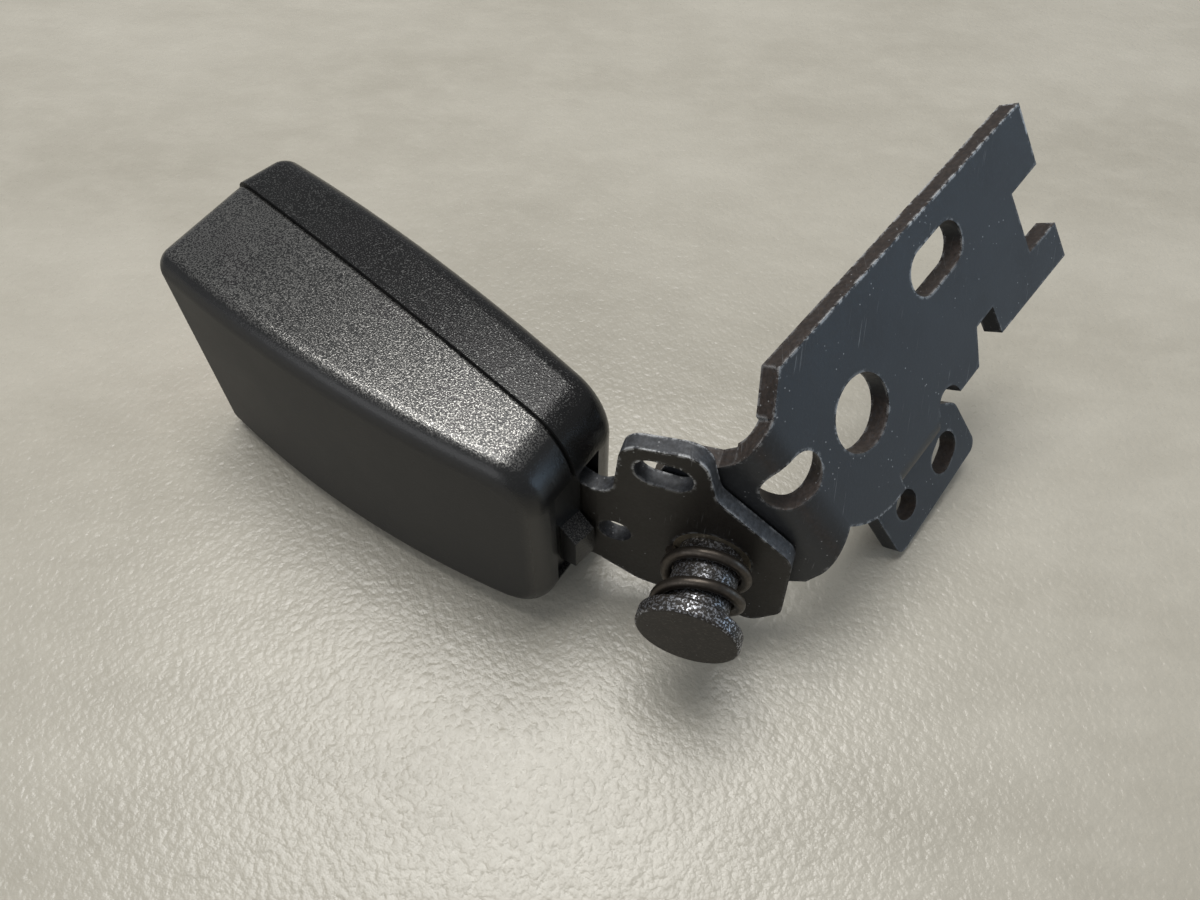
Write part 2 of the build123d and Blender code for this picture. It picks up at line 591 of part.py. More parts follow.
BEND_TOP_FOOT, BEND_TOP_PLATE = 8.8, 12.0
BEND_LOW_FOOT, BEND_LOW_PLATE = -21.4, -15.2
bend_middle = on(bend, Plane(Location((0, 0, 0), (0, BEND_ANGLE / 2, 0))))
BEND_CHORD = BEND_SETBACK * cos(radians(BEND_ANGLE / 2))
tab_side = on(plate, Plane.YZ.offset(TAB_NECK_LEFT))
TAB_OUTSIDE = TAB_BEND_INSIDE + PLATE
half_bend = radians(BEND_ANGLE / 2)
cross_slot_length = CROSS_SLOT_PLATE + CROSS_SLOT_FOOT + 2 * CROSS_SLOT_RADIUS
with BuildPart() as mounting_bracket:
    # bend between the foot and the main plate, trimmed to its slanted ends
    with BuildSketch(on(bend, Plane.XZ.offset(BEND_REACH))):
        with BuildLine():
            centre = (-BEND_SETBACK, -BEND_OUTSIDE)
            outer = CenterArc(centre, BEND_OUTSIDE, 90 - BEND_ANGLE, BEND_ANGLE)
            inner = CenterArc(centre, BEND_INSIDE, 90 - BEND_ANGLE, BEND_ANGLE)
            Line(outer @ 0, inner @ 0)
            Line(outer @ 1, inner @ 1)
        make_face()
    extrude(amount=-2 * BEND_REACH)
    with BuildSketch(bend_middle):
        with BuildLine():
            Polyline(
                (-BEND_CHORD, BEND_LOW_FOOT),
                (BEND_CHORD, BEND_LOW_PLATE),
                (BEND_CHORD, BEND_TOP_PLATE),
                (-BEND_CHORD, BEND_TOP_FOOT),
                close=True,
            )
        make_face()
    extrude(amount=30, both=True, mode=Mode.INTERSECT)
    # foot behind the lug, round the stud
    with BuildSketch(foot):
        with BuildLine():
            foot_edge = Polyline(
                foot_at(-BEND_SETBACK, BEND_LOW_FOOT),
                foot_at(-BEND_SETBACK, BEND_TOP_FOOT),
                (-2.3, 20.7),
                (-9.6, 19.6),
                (-12.6, 11.4),
                (-FOOT_RADIUS, 0),
            )
            ThreePointArc(
                foot_edge @ 1,
                (FOOT_RADIUS * cos(radians(-120)), FOOT_RADIUS * sin(radians(-120))),
                (FOOT_RADIUS * cos(radians(-50)), FOOT_RADIUS * sin(radians(-50))),
            )
            Polyline(
                (FOOT_RADIUS * cos(radians(-50)), FOOT_RADIUS * sin(radians(-50))),
                (16.4, -5.3),
                foot_edge @ 0,
            )
        make_face()
    extrude(amount=-PLATE)
    # main plate: straight top edge, toothed far end, arc edge round the bore
    with BuildSketch(plate):
        with BuildLine():
            plate_edge = Polyline(
                plate_at(BEND_SETBACK, BEND_TOP_PLATE),
                (-10.4, TOP_EDGE),
                (FAR_EDGE, TOP_EDGE_FAR),
                (FAR_EDGE, 5.1),
                (FAR_EDGE - 8.9, 5.1),
                (FAR_EDGE - 8.9, -7.4),
                (FAR_EDGE + 0.5, -7.8),
                (FAR_EDGE + 0.7, -TOOTH_EDGE - 0.8),
                (37.0, -TOOTH_EDGE),
                (36.9, -8.5),
                (31.3, -8.5),
                (28.4, -TOOTH_EDGE - 0.6),
                (18.0, -TOOTH_EDGE - 0.6),
                (TAB_NECK_RIGHT, -TOOTH_EDGE - 0.6),
                (TAB_NECK_RIGHT, -LOW_EDGE + TAB_OUTSIDE),
                (TAB_NECK_LEFT, -LOW_EDGE + TAB_OUTSIDE),
                (TAB_NECK_LEFT, -ARC_EDGE),
            )
            ThreePointArc(
                plate_edge @ 1,
                (-6.9, -ARC_EDGE + 1.2),
                plate_at(BEND_SETBACK, BEND_LOW_PLATE),
            )
            Line(plate_at(BEND_SETBACK, BEND_LOW_PLATE), plate_edge @ 0)
        make_face()
        with Locations((TAB_NECK_RIGHT + RELIEF_RADIUS + 0.8, -TOOTH_EDGE - 0.6)):
            Circle(RELIEF_RADIUS, mode=Mode.SUBTRACT)
        Circle(BORE_RADIUS, mode=Mode.SUBTRACT)
        with Locations(SLOT_AT):
            SlotOverall(SLOT_LENGTH, SLOT_WIDTH, mode=Mode.SUBTRACT)
    extrude(amount=-PLATE)
    # joggle and tab
    with BuildSketch(tab_side):
        with BuildLine():
            top = (-LOW_EDGE + TAB_OUTSIDE, -TAB_OUTSIDE)
            low = (-LOW_EDGE - TAB_BEND_INSIDE, -TAB_DROP + TAB_BEND_INSIDE)
            top_out = CenterArc(top, TAB_OUTSIDE, 90, 90)
            low_in = CenterArc(low, TAB_BEND_INSIDE, 0, -90)
            low_out = CenterArc(low, TAB_OUTSIDE, -90, 90)
            top_in = CenterArc(top, TAB_BEND_INSIDE, 180, -90)
            Line(top_out @ 1, low_in @ 0)
            Line(low_in @ 1, low_out @ 0)
            Line(low_out @ 1, top_in @ 0)
            Line(top_in @ 1, top_out @ 0)
        make_face()
    extrude(amount=TAB_NECK_RIGHT - TAB_NECK_LEFT)
    with BuildSketch(plate.offset(-TAB_DROP)):
        with BuildLine():
            tab_edge = FilletPolyline(
                (TAB_NECK_RIGHT, -LOW_EDGE - TAB_BEND_INSIDE),
                (23.0, -21.9),
                (TAB_RIGHT - 1.2, -29.2),
                (TAB_RIGHT, -TAB_LOW + 1.8),
                (TAB_LEFT + 1.0, -TAB_LOW),
                (TAB_NECK_LEFT, -LOW_EDGE - TAB_BEND_INSIDE),
                radius=(3, 3, 2.5, 2),
            )
            Line(tab_edge @ 1, tab_edge @ 0)
        make_face()
        with Locations(TAB_HOLE_AT):
            Circle(TAB_HOLE_RADIUS, mode=Mode.SUBTRACT)
        with Locations(Location((*TAB_SLOT_AT, 0), (0, 0, 24))):
            SlotOverall(TAB_SLOT_LENGTH, TAB_SLOT_WIDTH, mode=Mode.SUBTRACT)
    extrude(amount=-PLATE)
    # slot across the bend, and the stud's hole
    with BuildSketch(on(bend_middle, Plane.XY.offset(1))):
        with Locations(((CROSS_SLOT_PLATE - CROSS_SLOT_FOOT) / 2 * cos(half_bend), 0)):
            SlotOverall(cross_slot_length * cos(half_bend), 2 * CROSS_SLOT_RADIUS)
    extrude(amount=-3 * PLATE, mode=Mode.SUBTRACT)
    for sheet, across in ((plate_bend, CROSS_SLOT_PLATE), (bend, -CROSS_SLOT_FOOT)):
        with BuildSketch(on(sheet, Plane.XY.offset(1))):
            with Locations((across, 0)):
                Circle(CROSS_SLOT_RADIUS)
        extrude(amount=-PLATE - 2, mode=Mode.SUBTRACT)
    with BuildSketch(foot):
        Circle(TENON_RADIUS)
    extrude(amount=-PLATE, mode=Mode.SUBTRACT)

# ---- mouth guide: funnel that leads the tongue onto the frame floor ----------
with BuildPart() as tongue_guide:
    with BuildSketch(body_front.offset(-GUIDE_REAR)):
        with Locations(((GUIDE_START + FRAME_START) / 2, 0)):
            Rectangle(FRAME_START - GUIDE_START, 2 * (SLOT_HALF + GUIDE_SIDE))
    extrude(amount=GUIDE_REAR + SLOT_HEIGHT + GUIDE_TOP)
    fillet(tongue_guide.edges().filter_by(Axis((0, 0, 0), body.x_dir)), 1.5)
    with BuildSketch(body_front):
        with Locations(((GUIDE_START + FRAME_START) / 2, 0)):
            Rectangle(FRAME_START - GUIDE_START, 2 * SLOT_HALF)
    extrude(amount=SLOT_HEIGHT, mode=Mode.SUBTRACT)

# ---- end clip: moulded insert that closes the strap end ----------------------
with BuildPart() as end_clip:
    with BuildSketch(body_front.offset(-STRAP_FACE + RUN)):
        with Locations((BODY_LENGTH - CLIP_INSET, 0)):
            Rectangle(CLIP_PANEL, 2 * (END_OPEN_HALF - 2 * RUN))
    extrude(amount=STRAP_FACE - RUN + END_OPEN_FRONT - 2 * RUN)
    with BuildSketch(body_front.offset(-STRAP_FACE + 2 * RUN)):
        with BuildLine():
            Polyline(
                (BODY_LENGTH - CLIP_INSET, CLIP_WEDGE_TOP),
                (BODY_LENGTH + CLIP_REACH, CLIP_WEDGE_TOP - 2.6),
                (BODY_LENGTH + CLIP_REACH, CLIP_WEDGE_LOW + 2.6),
                (BODY_LENGTH - CLIP_INSET, CLIP_WEDGE_LOW),
                close=True,
            )
        make_face()
    extrude(amount=STRAP_FACE - 2 * RUN + CLIP_WEDGE_FRONT)
    with BuildSketch(body_front.offset(-STRAP_FACE)):
        with Locations((BODY_LENGTH - CLIP_INSET - CLIP_LEG / 2, 0)):
            Rectangle(CLIP_LEG, 2 * CLIP_LEG_HALF)
    extrude(amount=CLIP_LEG_THICK)

# ---- release button, with ramps that lift the latch --------------------------
button_plane = on(body, Plane.XY)
with BuildPart() as release_button:
    with BuildSketch(button_plane):
        with BuildLine():
            Polyline(
                (mouth_x(-BUTTON_LOW), -BUTTON_LOW),
                (mouth_x(-BUTTON_TOP), -BUTTON_TOP),
                (BUTTON_BACK, -BUTTON_TOP),
                (BUTTON_BACK, -BUTTON_LOW),
                close=True,
            )
        make_face()
    extrude(amount=BUTTON_HALF, both=True)
    mouth_edges = release_button.faces().sort_by(Axis(body.origin, body.x_dir))[0].edges()
    fillet(mouth_edges, 1.0)
    inner_low, inner_top = BUTTON_LOW + BUTTON_SHELL, BUTTON_TOP - BUTTON_SHELL
    with BuildSketch(button_plane):
        with BuildLine():
            Polyline(
                (mouth_x(-inner_low) + BUTTON_SHELL, -inner_low),
                (mouth_x(-inner_top) + BUTTON_SHELL, -inner_top),
                (BUTTON_BACK, -inner_top),
                (BUTTON_BACK, -inner_low),
                close=True,
            )
        make_face()
    extrude(amount=BUTTON_HALF - BUTTON_SHELL, both=True, mode=Mode.SUBTRACT)
    # spring seats
    for z in (BUTTON_SPRING_Z, -BUTTON_SPRING_Z):
        for reach, radius in (
            (BUTTON_SPRING_START, BUTTON_SPRING_RADIUS + 0.7),
            (BUTTON_SPRING_START + 3, BUTTON_SPRING_RADIUS - BUTTON_SPRING_WIRE - FIT),
        ):
            with BuildSketch(on(body, Plane.YZ.offset(mouth_x(-BUTTON_SPRING_Y) + 1))):
                with Locations((-BUTTON_SPRING_Y, z)):
                    Circle(radius)
            extrude(amount=reach - mouth_x(-BUTTON_SPRING_Y) - 1)
    # ramp arms beside the tongue
    for side in (1, -1):
        with BuildSketch(on(body, Plane.XY.offset(side * ARM_INSIDE))):
            with BuildLine():
                Polyline(
                    (BUTTON_BACK - 9, -BUTTON_LOW - 0.6),
                    (BUTTON_BACK + 0.6, -BUTTON_LOW - 0.6),
                    (BUTTON_BACK + 0.6, -ARM_LOW),
                    (ARM_TIP, -ARM_LOW),
                    (ARM_TIP, -4.0),
                    (ARM_TIP - 3.8, -8.2),
                    (BUTTON_BACK - 9, -8.2),
                    close=True,
                )
            make_face()
        extrude(amount=side * ARM_THICK)

# ---- latch: pressed plate on a cross pin, nose through the frame window ------
pin_plane = on(body, Plane.XY)
with BuildPart() as latch:
    with BuildSketch(pin_plane):
        with Locations((LATCH_PIN_X, -LATCH_PIN_Y)):
            Circle(LATCH_PIN_RADIUS + PIVOT_RUN + LATCH_BARREL_WALL)
        with BuildLine():
            Polyline(
                (NOSE_X + 2.0, -LATCH_LIFT),
                (LATCH_PIN_X, -LATCH_LIFT),
                (LATCH_PIN_X, -LATCH_LIFT - LATCH_THICK),
                (NOSE_X + 2.0, -LATCH_LIFT - LATCH_THICK),
                close=True,
            )
        make_face()
    extrude(amount=LATCH_HALF, both=True)
    with BuildSketch(pin_plane):
        with BuildLine():
            Polyline(
                (NOSE_X, -LATCH_LIFT - LATCH_THICK + 0.6),
                (NOSE_X + 0.6, -LATCH_LIFT - LATCH_THICK),
                (NOSE_X + NOSE_LENGTH, -LATCH_LIFT - LATCH_THICK),
                (NOSE_X + NOSE_LENGTH, FRAME_THICK - 0.5),
                (NOSE_X + 0.8, FRAME_THICK - 0.5),
                (NOSE_X, -0.6),
                close=True,
            )
        make_face()
    extrude(amount=LATCH_NOSE_HALF, both=True)
    with BuildSketch(body_front.offset(LATCH_LIFT)):
        with Locations((sum(LATCH_EAR_X) / 2, 0)):
            Rectangle(LATCH_EAR_X[1] - LATCH_EAR_X[0], 2 * LATCH_EAR_HALF)
    extrude(amount=LATCH_THICK)
    with BuildSketch(pin_plane):
        with Locations((LATCH_PIN_X, -LATCH_PIN_Y)):
            Circle(LATCH_PIN_RADIUS + PIVOT_RUN)
    extrude(amount=LATCH_HALF, both=True, mode=Mode.SUBTRACT)

with BuildPart() as latch_pin:
    with BuildSketch(pin_plane):
        with Locations((LATCH_PIN_X, -LATCH_PIN_Y)):
            Circle(LATCH_PIN_RADIUS)
    extrude(amount=FRAME_HALF + 0.6, both=True)

# ---- ejector: slide that pushes the tongue out -------------------------------
with BuildPart() as ejector:
    with BuildSketch(body_front.offset(FIT)):
        with Locations((EJECTOR_START + EJECTOR_LENGTH / 2, 0)):
            Rectangle(EJECTOR_LENGTH, 2 * EJECTOR_HALF)
    extrude(amount=3)
    fillet(ejector.edges().filter_by(Axis((0, 0, 0), body.y_dir)), 1)
    with BuildSketch(on(body, Plane.YZ.offset(EJECTOR_START + EJECTOR_LENGTH))):
        with Locations((-1.9, 0)):
            Circle(EJECTOR_SPRING_RADIUS - EJECTOR_SPRING_WIRE - 0.1)
    extrude(amount=3)


def spring_line(start, way, length, radius, wire, turns):
    """Helix of a compression spring, inside a stated free space."""
    rest = length - wire - FIT
    with BuildLine() as line:
        Helix(
            pitch=rest / turns,
            height=rest,
            radius=radius,
            center=start + way * (wire + FIT) / 2,
            direction=way,
        )
    return line.line


button_spring_length = SPRING_RIB_X - BUTTON_SPRING_START
upper_line = spring_line(
    body.from_local_coords(Vector(BUTTON_SPRING_START, -BUTTON_SPRING_Y, BUTTON_SPRING_Z)),
    body.x_dir, button_spring_length, BUTTON_SPRING_RADIUS, BUTTON_SPRING_WIRE, 7,
)
with BuildPart() as button_spring_upper:
    with BuildSketch(Plane(origin=upper_line @ 0, z_dir=upper_line % 0)):
        Circle(BUTTON_SPRING_WIRE / 2)
    sweep(path=upper_line, is_frenet=True)

lower_line = spring_line(
    body.from_local_coords(Vector(BUTTON_SPRING_START, -BUTTON_SPRING_Y, -BUTTON_SPRING_Z)),
    body.x_dir, button_spring_length, BUTTON_SPRING_RADIUS, BUTTON_SPRING_WIRE, 7,
)
with BuildPart() as button_spring_lower:
    with BuildSketch(Plane(origin=lower_line @ 0, z_dir=lower_line % 0)):
        Circle(BUTTON_SPRING_WIRE / 2)
    sweep(path=lower_line, is_frenet=True)

latch_line = spring_line(
    body.from_local_coords(Vector(LATCH_SPRING_X, -LATCH_LIFT - LATCH_THICK, 0)),
    body.y_dir * -1, LATCH_SPRING_SEAT - LATCH_LIFT - LATCH_THICK,
    LATCH_SPRING_RADIUS, LATCH_SPRING_WIRE, 5,
)
with BuildPart() as latch_spring:
    with BuildSketch(Plane(origin=latch_line @ 0, z_dir=latch_line % 0)):
        Circle(LATCH_SPRING_WIRE / 2)
    sweep(path=latch_line, is_frenet=True)

ejector_line = spring_line(
    body.from_local_coords(Vector(EJECTOR_START + EJECTOR_LENGTH, -1.9, 0)),
    body.x_dir, EJECTOR_STOP_X - EJECTOR_START - EJECTOR_LENGTH,
    EJECTOR_SPRING_RADIUS, EJECTOR_SPRING_WIRE, 14,
)
with BuildPart() as ejector_spring:
    with BuildSketch(Plane(origin=ejector_line @ 0, z_dir=ejector_line % 0)):
        Circle(EJECTOR_SPRING_WIRE / 2)
    sweep(path=ejector_line, is_frenet=True)

# ---- labels and files --------------------------------------------------------
front_cover.part.label = "front_cover"
export_step(front_cover.part, "parts/front_cover.step")
rear_cover.part.label = "rear_cover"
export_step(rear_cover.part, "parts/rear_cover.step")
buckle_frame.part.label = "buckle_frame"
export_step(buckle_frame.part, "parts/buckle_frame.step")
frame_rivets.part.label = "frame_rivets"
export_step(frame_rivets.part, "parts/frame_rivets.step")
tongue_guide.part.label = "tongue_guide"
export_step(tongue_guide.part, "parts/tongue_guide.step")
end_clip.part.label = "end_clip"
export_step(end_clip.part, "parts/end_clip.step")
anchor_strap.part.label = "anchor_strap"
export_step(anchor_strap.part, "parts/anchor_strap.step")
pivot_bush.part.label = "pivot_bush"
export_step(pivot_bush.part, "parts/pivot_bush.step")
pivot_stud.part.label = "pivot_stud"
export_step(pivot_stud.part, "parts/pivot_stud.step")
pivot_spring.part.label = "pivot_spring"
export_step(pivot_spring.part, "parts/pivot_spring.step")
mounting_bracket.part.label = "mounting_bracket"
export_step(mounting_bracket.part, "parts/mounting_bracket.step")
release_button.part.label = "release_button"
export_step(release_button.part, "parts/release_button.step")
button_spring_upper.part.label = "button_spring_upper"
export_step(button_spring_upper.part, "parts/button_spring_upper.step")
button_spring_lower.part.label = "button_spring_lower"
export_step(button_spring_lower.part, "parts/button_spring_lower.step")
latch.part.label = "latch"
export_step(latch.part, "parts/latch.step")
latch_pin.part.label = "latch_pin"
export_step(latch_pin.part, "parts/latch_pin.step")
latch_spring.part.label = "latch_spring"
export_step(latch_spring.part, "parts/latch_spring.step")
ejector.part.label = "ejector"
export_step(ejector.part, "parts/ejector.step")
ejector_spring.part.label = "ejector_spring"
export_step(ejector_spring.part, "parts/ejector_spring.step")
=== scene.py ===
import json
from math import radians

import bpy
from mathutils import Matrix, Vector


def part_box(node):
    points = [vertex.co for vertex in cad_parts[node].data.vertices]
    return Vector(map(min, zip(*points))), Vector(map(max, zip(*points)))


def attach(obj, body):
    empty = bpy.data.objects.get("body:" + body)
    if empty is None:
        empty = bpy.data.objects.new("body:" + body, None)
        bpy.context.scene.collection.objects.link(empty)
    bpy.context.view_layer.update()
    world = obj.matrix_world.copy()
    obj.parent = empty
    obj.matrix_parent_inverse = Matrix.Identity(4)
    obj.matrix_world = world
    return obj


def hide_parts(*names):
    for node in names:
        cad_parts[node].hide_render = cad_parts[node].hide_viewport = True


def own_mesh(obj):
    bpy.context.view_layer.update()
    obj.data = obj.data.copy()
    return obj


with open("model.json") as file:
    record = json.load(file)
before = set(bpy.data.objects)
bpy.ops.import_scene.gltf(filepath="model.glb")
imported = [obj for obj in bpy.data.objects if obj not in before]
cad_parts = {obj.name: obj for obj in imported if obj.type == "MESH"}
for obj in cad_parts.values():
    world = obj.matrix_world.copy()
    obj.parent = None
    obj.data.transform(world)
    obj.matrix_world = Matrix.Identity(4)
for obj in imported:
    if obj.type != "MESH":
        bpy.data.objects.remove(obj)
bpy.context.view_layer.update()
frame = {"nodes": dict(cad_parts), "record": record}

# Lengths are in metres, powers in watts, and colours are linear.
MM = 0.001

# ---- camera -------------------------------------------------------------------
CAMERA_AT = Vector((78.114, -95.758, 161.55)) * MM
CAMERA_RIGHT = Vector((0.73410, 0.67893, 0.01243))
CAMERA_UP = Vector((-0.56478, 0.60031, 0.56627))
CAMERA_BACK = Vector((0.37699, -0.42272, 0.82413))
SENSOR_WIDTH = 36.0       # in millimetres, as the lens
LENS = 27.9
CLIP_START = 10 * MM

camera_data = bpy.data.cameras.new("camera")
camera_data.lens = LENS
camera_data.sensor_width = SENSOR_WIDTH
camera_data.clip_start = CLIP_START
camera = bpy.data.objects.new("camera", camera_data)
bpy.context.scene.collection.objects.link(camera)
camera_turn = Matrix((CAMERA_RIGHT, CAMERA_UP, CAMERA_BACK)).transposed()
camera.matrix_world = Matrix.Translation(CAMERA_AT) @ camera_turn.to_4x4()
bpy.context.scene.camera = camera

# ---- light --------------------------------------------------------------------
SKY_COLOUR = (0.93, 0.96, 1.0)
SKY_LEVEL = 0.29          # of the light on the object
BACKDROP_LEVEL = 0.75     # of the room, as the camera sees it past the table
LAMPS = (
    # name, way from the object, distance, width and height, power, colour
    ("ceiling_lamp", Vector((-0.21, 0.09, 0.975)), 1.2, (0.70, 0.60), 12.0, (1.0, 0.985, 0.955)),
    ("window", Vector((0.80, 0.56, 0.22)), 1.4, (0.90, 0.50), 2.6, (0.52, 0.75, 1.0)),
    ("front_wall", Vector((-0.10, -0.85, 0.48)), 1.6, (1.60, 0.90), 5.5, (0.97, 0.98, 1.0)),
)

bpy.context.scene.view_settings.view_transform = "Standard"
world = bpy.data.worlds.new("room")
bpy.context.scene.world = world
world.use_nodes = True
sky = world.node_tree.nodes["Background"]
sky.inputs["Color"].default_value = (*SKY_COLOUR, 1)
seen = world.node_tree.nodes.new("ShaderNodeLightPath")
level = world.node_tree.nodes.new("ShaderNodeMapRange")
level.inputs["To Min"].default_value = SKY_LEVEL
level.inputs["To Max"].default_value = BACKDROP_LEVEL
world.node_tree.links.new(seen.outputs["Is Camera Ray"], level.inputs["Value"])
world.node_tree.links.new(level.outputs["Result"], sky.inputs["Strength"])


def area_light(name, way, distance, size, power, colour):
    """Soft lamp some way off in one direction, facing the object."""
    lamp = bpy.data.lights.new(name, "AREA")
    lamp.shape = "RECTANGLE"
    lamp.size, lamp.size_y = size
    lamp.energy = power
    lamp.color = colour
    holder = bpy.data.objects.new(name, lamp)
    bpy.context.scene.collection.objects.link(holder)
    holder.location = way.normalized() * distance
    holder.rotation_euler = (-way).to_track_quat("-Z", "Y").to_euler()


for lamp_values in LAMPS:
    area_light(*lamp_values)

# ---- a material from a few calls ----------------------------------------------
UNIT = (0.0, 1.0)         # the whole range of a mask
MIDDLE = (0.3, 0.7)       # the range that most of a noise lies in

MIX_FIRST = 6             # the colour sockets of a Mix node
MIX_SECOND = 7
MIX_RESULT = 2

EDGE_SAMPLES = 6
EDGE_SPAN = (0.998, 0.93)     # how far true and rounded normal agree: flat surface, edge
SPECK_CORE = 0.55             # full part of a speck, as a share of its reach
PATCH_BLUR = 0.05             # of the border of a patch of specks


class Recipe:
    """A node material, built from a few calls, that ends in one Principled shader."""

    def __init__(self, name):
        self.material = bpy.data.materials.new(name)
        self.material.use_nodes = True
        self.tree = self.material.node_tree
        self.shader = self.tree.nodes["Principled BSDF"]
        coordinates = self.tree.nodes.new("ShaderNodeTexCoord")
        self.place = coordinates.outputs["Object"]
        self.normal = coordinates.outputs["Normal"]

    def link(self, source, target):
        self.tree.links.new(source, target)

    def fill(self, value, socket):
        """Link a socket, or set it from a number or a colour."""
        if isinstance(value, bpy.types.NodeSocket):
            self.link(value, socket)
        elif isinstance(value, tuple):
            socket.default_value = (*value, 1)
        else:
            socket.default_value = value

    def noise(self, size, detail=3.0, roughness=0.5, stretch=None, turn=0.0):
        """Noise with features about size across, stretched along axes turned about Z."""
        node = self.tree.nodes.new("ShaderNodeTexNoise")
        node.inputs["Scale"].default_value = 1 / size
        node.inputs["Detail"].default_value = detail
        node.inputs["Roughness"].default_value = roughness
        place = self.place
        if stretch:
            mapping = self.tree.nodes.new("ShaderNodeMapping")
            mapping.vector_type = "TEXTURE"
            mapping.inputs["Scale"].default_value = stretch
            mapping.inputs["Rotation"].default_value = (0, 0, turn)
            self.link(place, mapping.inputs["Vector"])
            place = mapping.outputs["Vector"]
        self.link(place, node.inputs["Vector"])
        return node.outputs["Fac"]

    def cells(self, size):
        """Distance to scattered points about size apart, in units of size."""
        node = self.tree.nodes.new("ShaderNodeTexVoronoi")
        node.inputs["Scale"].default_value = 1 / size
        self.link(self.place, node.inputs["Vector"])
        return node.outputs["Distance"]

    def ramp(self, source, span, values=UNIT):
        """Source mapped from a span to a pair of values, and clamped."""
        node = self.tree.nodes.new("ShaderNodeMapRange")
        limits = zip(("From Min", "From Max", "To Min", "To Max"), (*span, *values))
        for socket, limit in limits:
            node.inputs[socket].default_value = limit
        self.link(source, node.inputs["Value"])
        return node.outputs["Result"]

    def mix(self, factor, first, second):
        """Mixed colour; first and second are colours or sockets."""
        node = self.tree.nodes.new("ShaderNodeMix")
        node.data_type = "RGBA"
        self.link(factor, node.inputs["Factor"])
        self.fill(first, node.inputs[MIX_FIRST])
        self.fill(second, node.inputs[MIX_SECOND])
        return node.outputs[MIX_RESULT]

    def math(self, operation, first, *others):
        """One operation, repeated over two or more sockets or numbers."""
        result = first
        for other in others:
            node = self.tree.nodes.new("ShaderNodeMath")
            node.operation = operation
            self.fill(result, node.inputs[0])
            self.fill(other, node.inputs[1])
            result = node.outputs["Value"]
        return result

    def specks(self, size, reach, patch, share):
        """Dots reach x size across, only where a noise of patch size is over share."""
        dots = self.ramp(self.cells(size), (reach, reach * SPECK_CORE))
        patches = self.ramp(self.noise(patch), (share, share + PATCH_BLUR))
        return self.math("MULTIPLY", dots, patches)

    def height(self):
        """Height of a point of the piece above the floor, with the piece at rest."""
        parts = self.tree.nodes.new("ShaderNodeSeparateXYZ")
        self.link(self.place, parts.inputs["Vector"])
        return parts.outputs["Z"]

    def dot(self, first, second):
        """Dot product of a socket with another one or a fixed direction."""
        node = self.tree.nodes.new("ShaderNodeVectorMath")
        node.operation = "DOT_PRODUCT"
        self.link(first, node.inputs[0])
        if isinstance(second, bpy.types.NodeSocket):
            self.link(second, node.inputs[1])
        else:
            node.inputs[1].default_value = second
        return node.outputs["Value"]

    def along(self, axis):
        """How far the surface faces along a direction of the piece, either way."""
        node = self.tree.nodes.new("ShaderNodeMath")
        node.operation = "ABSOLUTE"
        self.link(self.dot(self.normal, axis), node.inputs[0])
        return node.outputs["Value"]

    def edge(self, width):
        """1 near edges, 0 on flat surface, over about width."""
        bevel = self.tree.nodes.new("ShaderNodeBevel")
        bevel.samples = EDGE_SAMPLES
        bevel.inputs["Radius"].default_value = width
        geometry = self.tree.nodes.new("ShaderNodeNewGeometry")
        agree = self.dot(bevel.outputs["Normal"], geometry.outputs["Normal"])
        return self.ramp(agree, EDGE_SPAN)

    def bump(self, height, distance):
        node = self.tree.nodes.new("ShaderNodeBump")
        node.inputs["Distance"].default_value = distance
        self.link(height, node.inputs["Height"])
        return node.outputs["Normal"]

    def set(self, **values):
        """Fill the shader's sockets, named with underscores for spaces."""
        for name, value in values.items():
            self.fill(value, self.shader.inputs[name.replace("_", " ")])


def scaled(colour, factor):
    return tuple(value * factor for value in colour)


# ---- moulded plastic ----------------------------------------------------------
HOUSING_FACE = (0.0, 1.0, 0.0)        # the broad faces look along this, either way
HOUSING_SIDE = (0.0, 0.0, 1.0)        # and the long sides along this

GRAIN = {"size": 0.27 * MM, "detail": 1.5, "roughness": 0.6}
LUMPS = {"size": 0.9 * MM, "detail": 2.0}
LUMP_HEIGHT = 0.5                     # as a share of the grain's
PATCHES = {"size": 14 * MM}
PATCH_TINT = 1.3
GRAIN_TOPS = (0.55, 0.75)
GRAIN_TOP_TINT = 3.0
GRAIN_TOP_MIX = (0.0, 0.5)
DUST = {"size": 1.7 * MM, "reach": 0.07, "patch": 9 * MM, "share": 0.56}
DUST_MIX = 0.4
DUST_COLOUR = (0.30, 0.29, 0.27)
LONG_SIDE_SPAN = (0.84, 0.97)
OFF_FACE_SPAN = (0.95, 0.70)
DULL_ROUGHNESS = 0.60
PATCH_ROUGHNESS = (-0.02, 0.03)
SHEEN_GRAIN_LOW = 0.62                      # of the grain, before the share is taken off
SHEEN_GRAIN_HIGH = 0.78


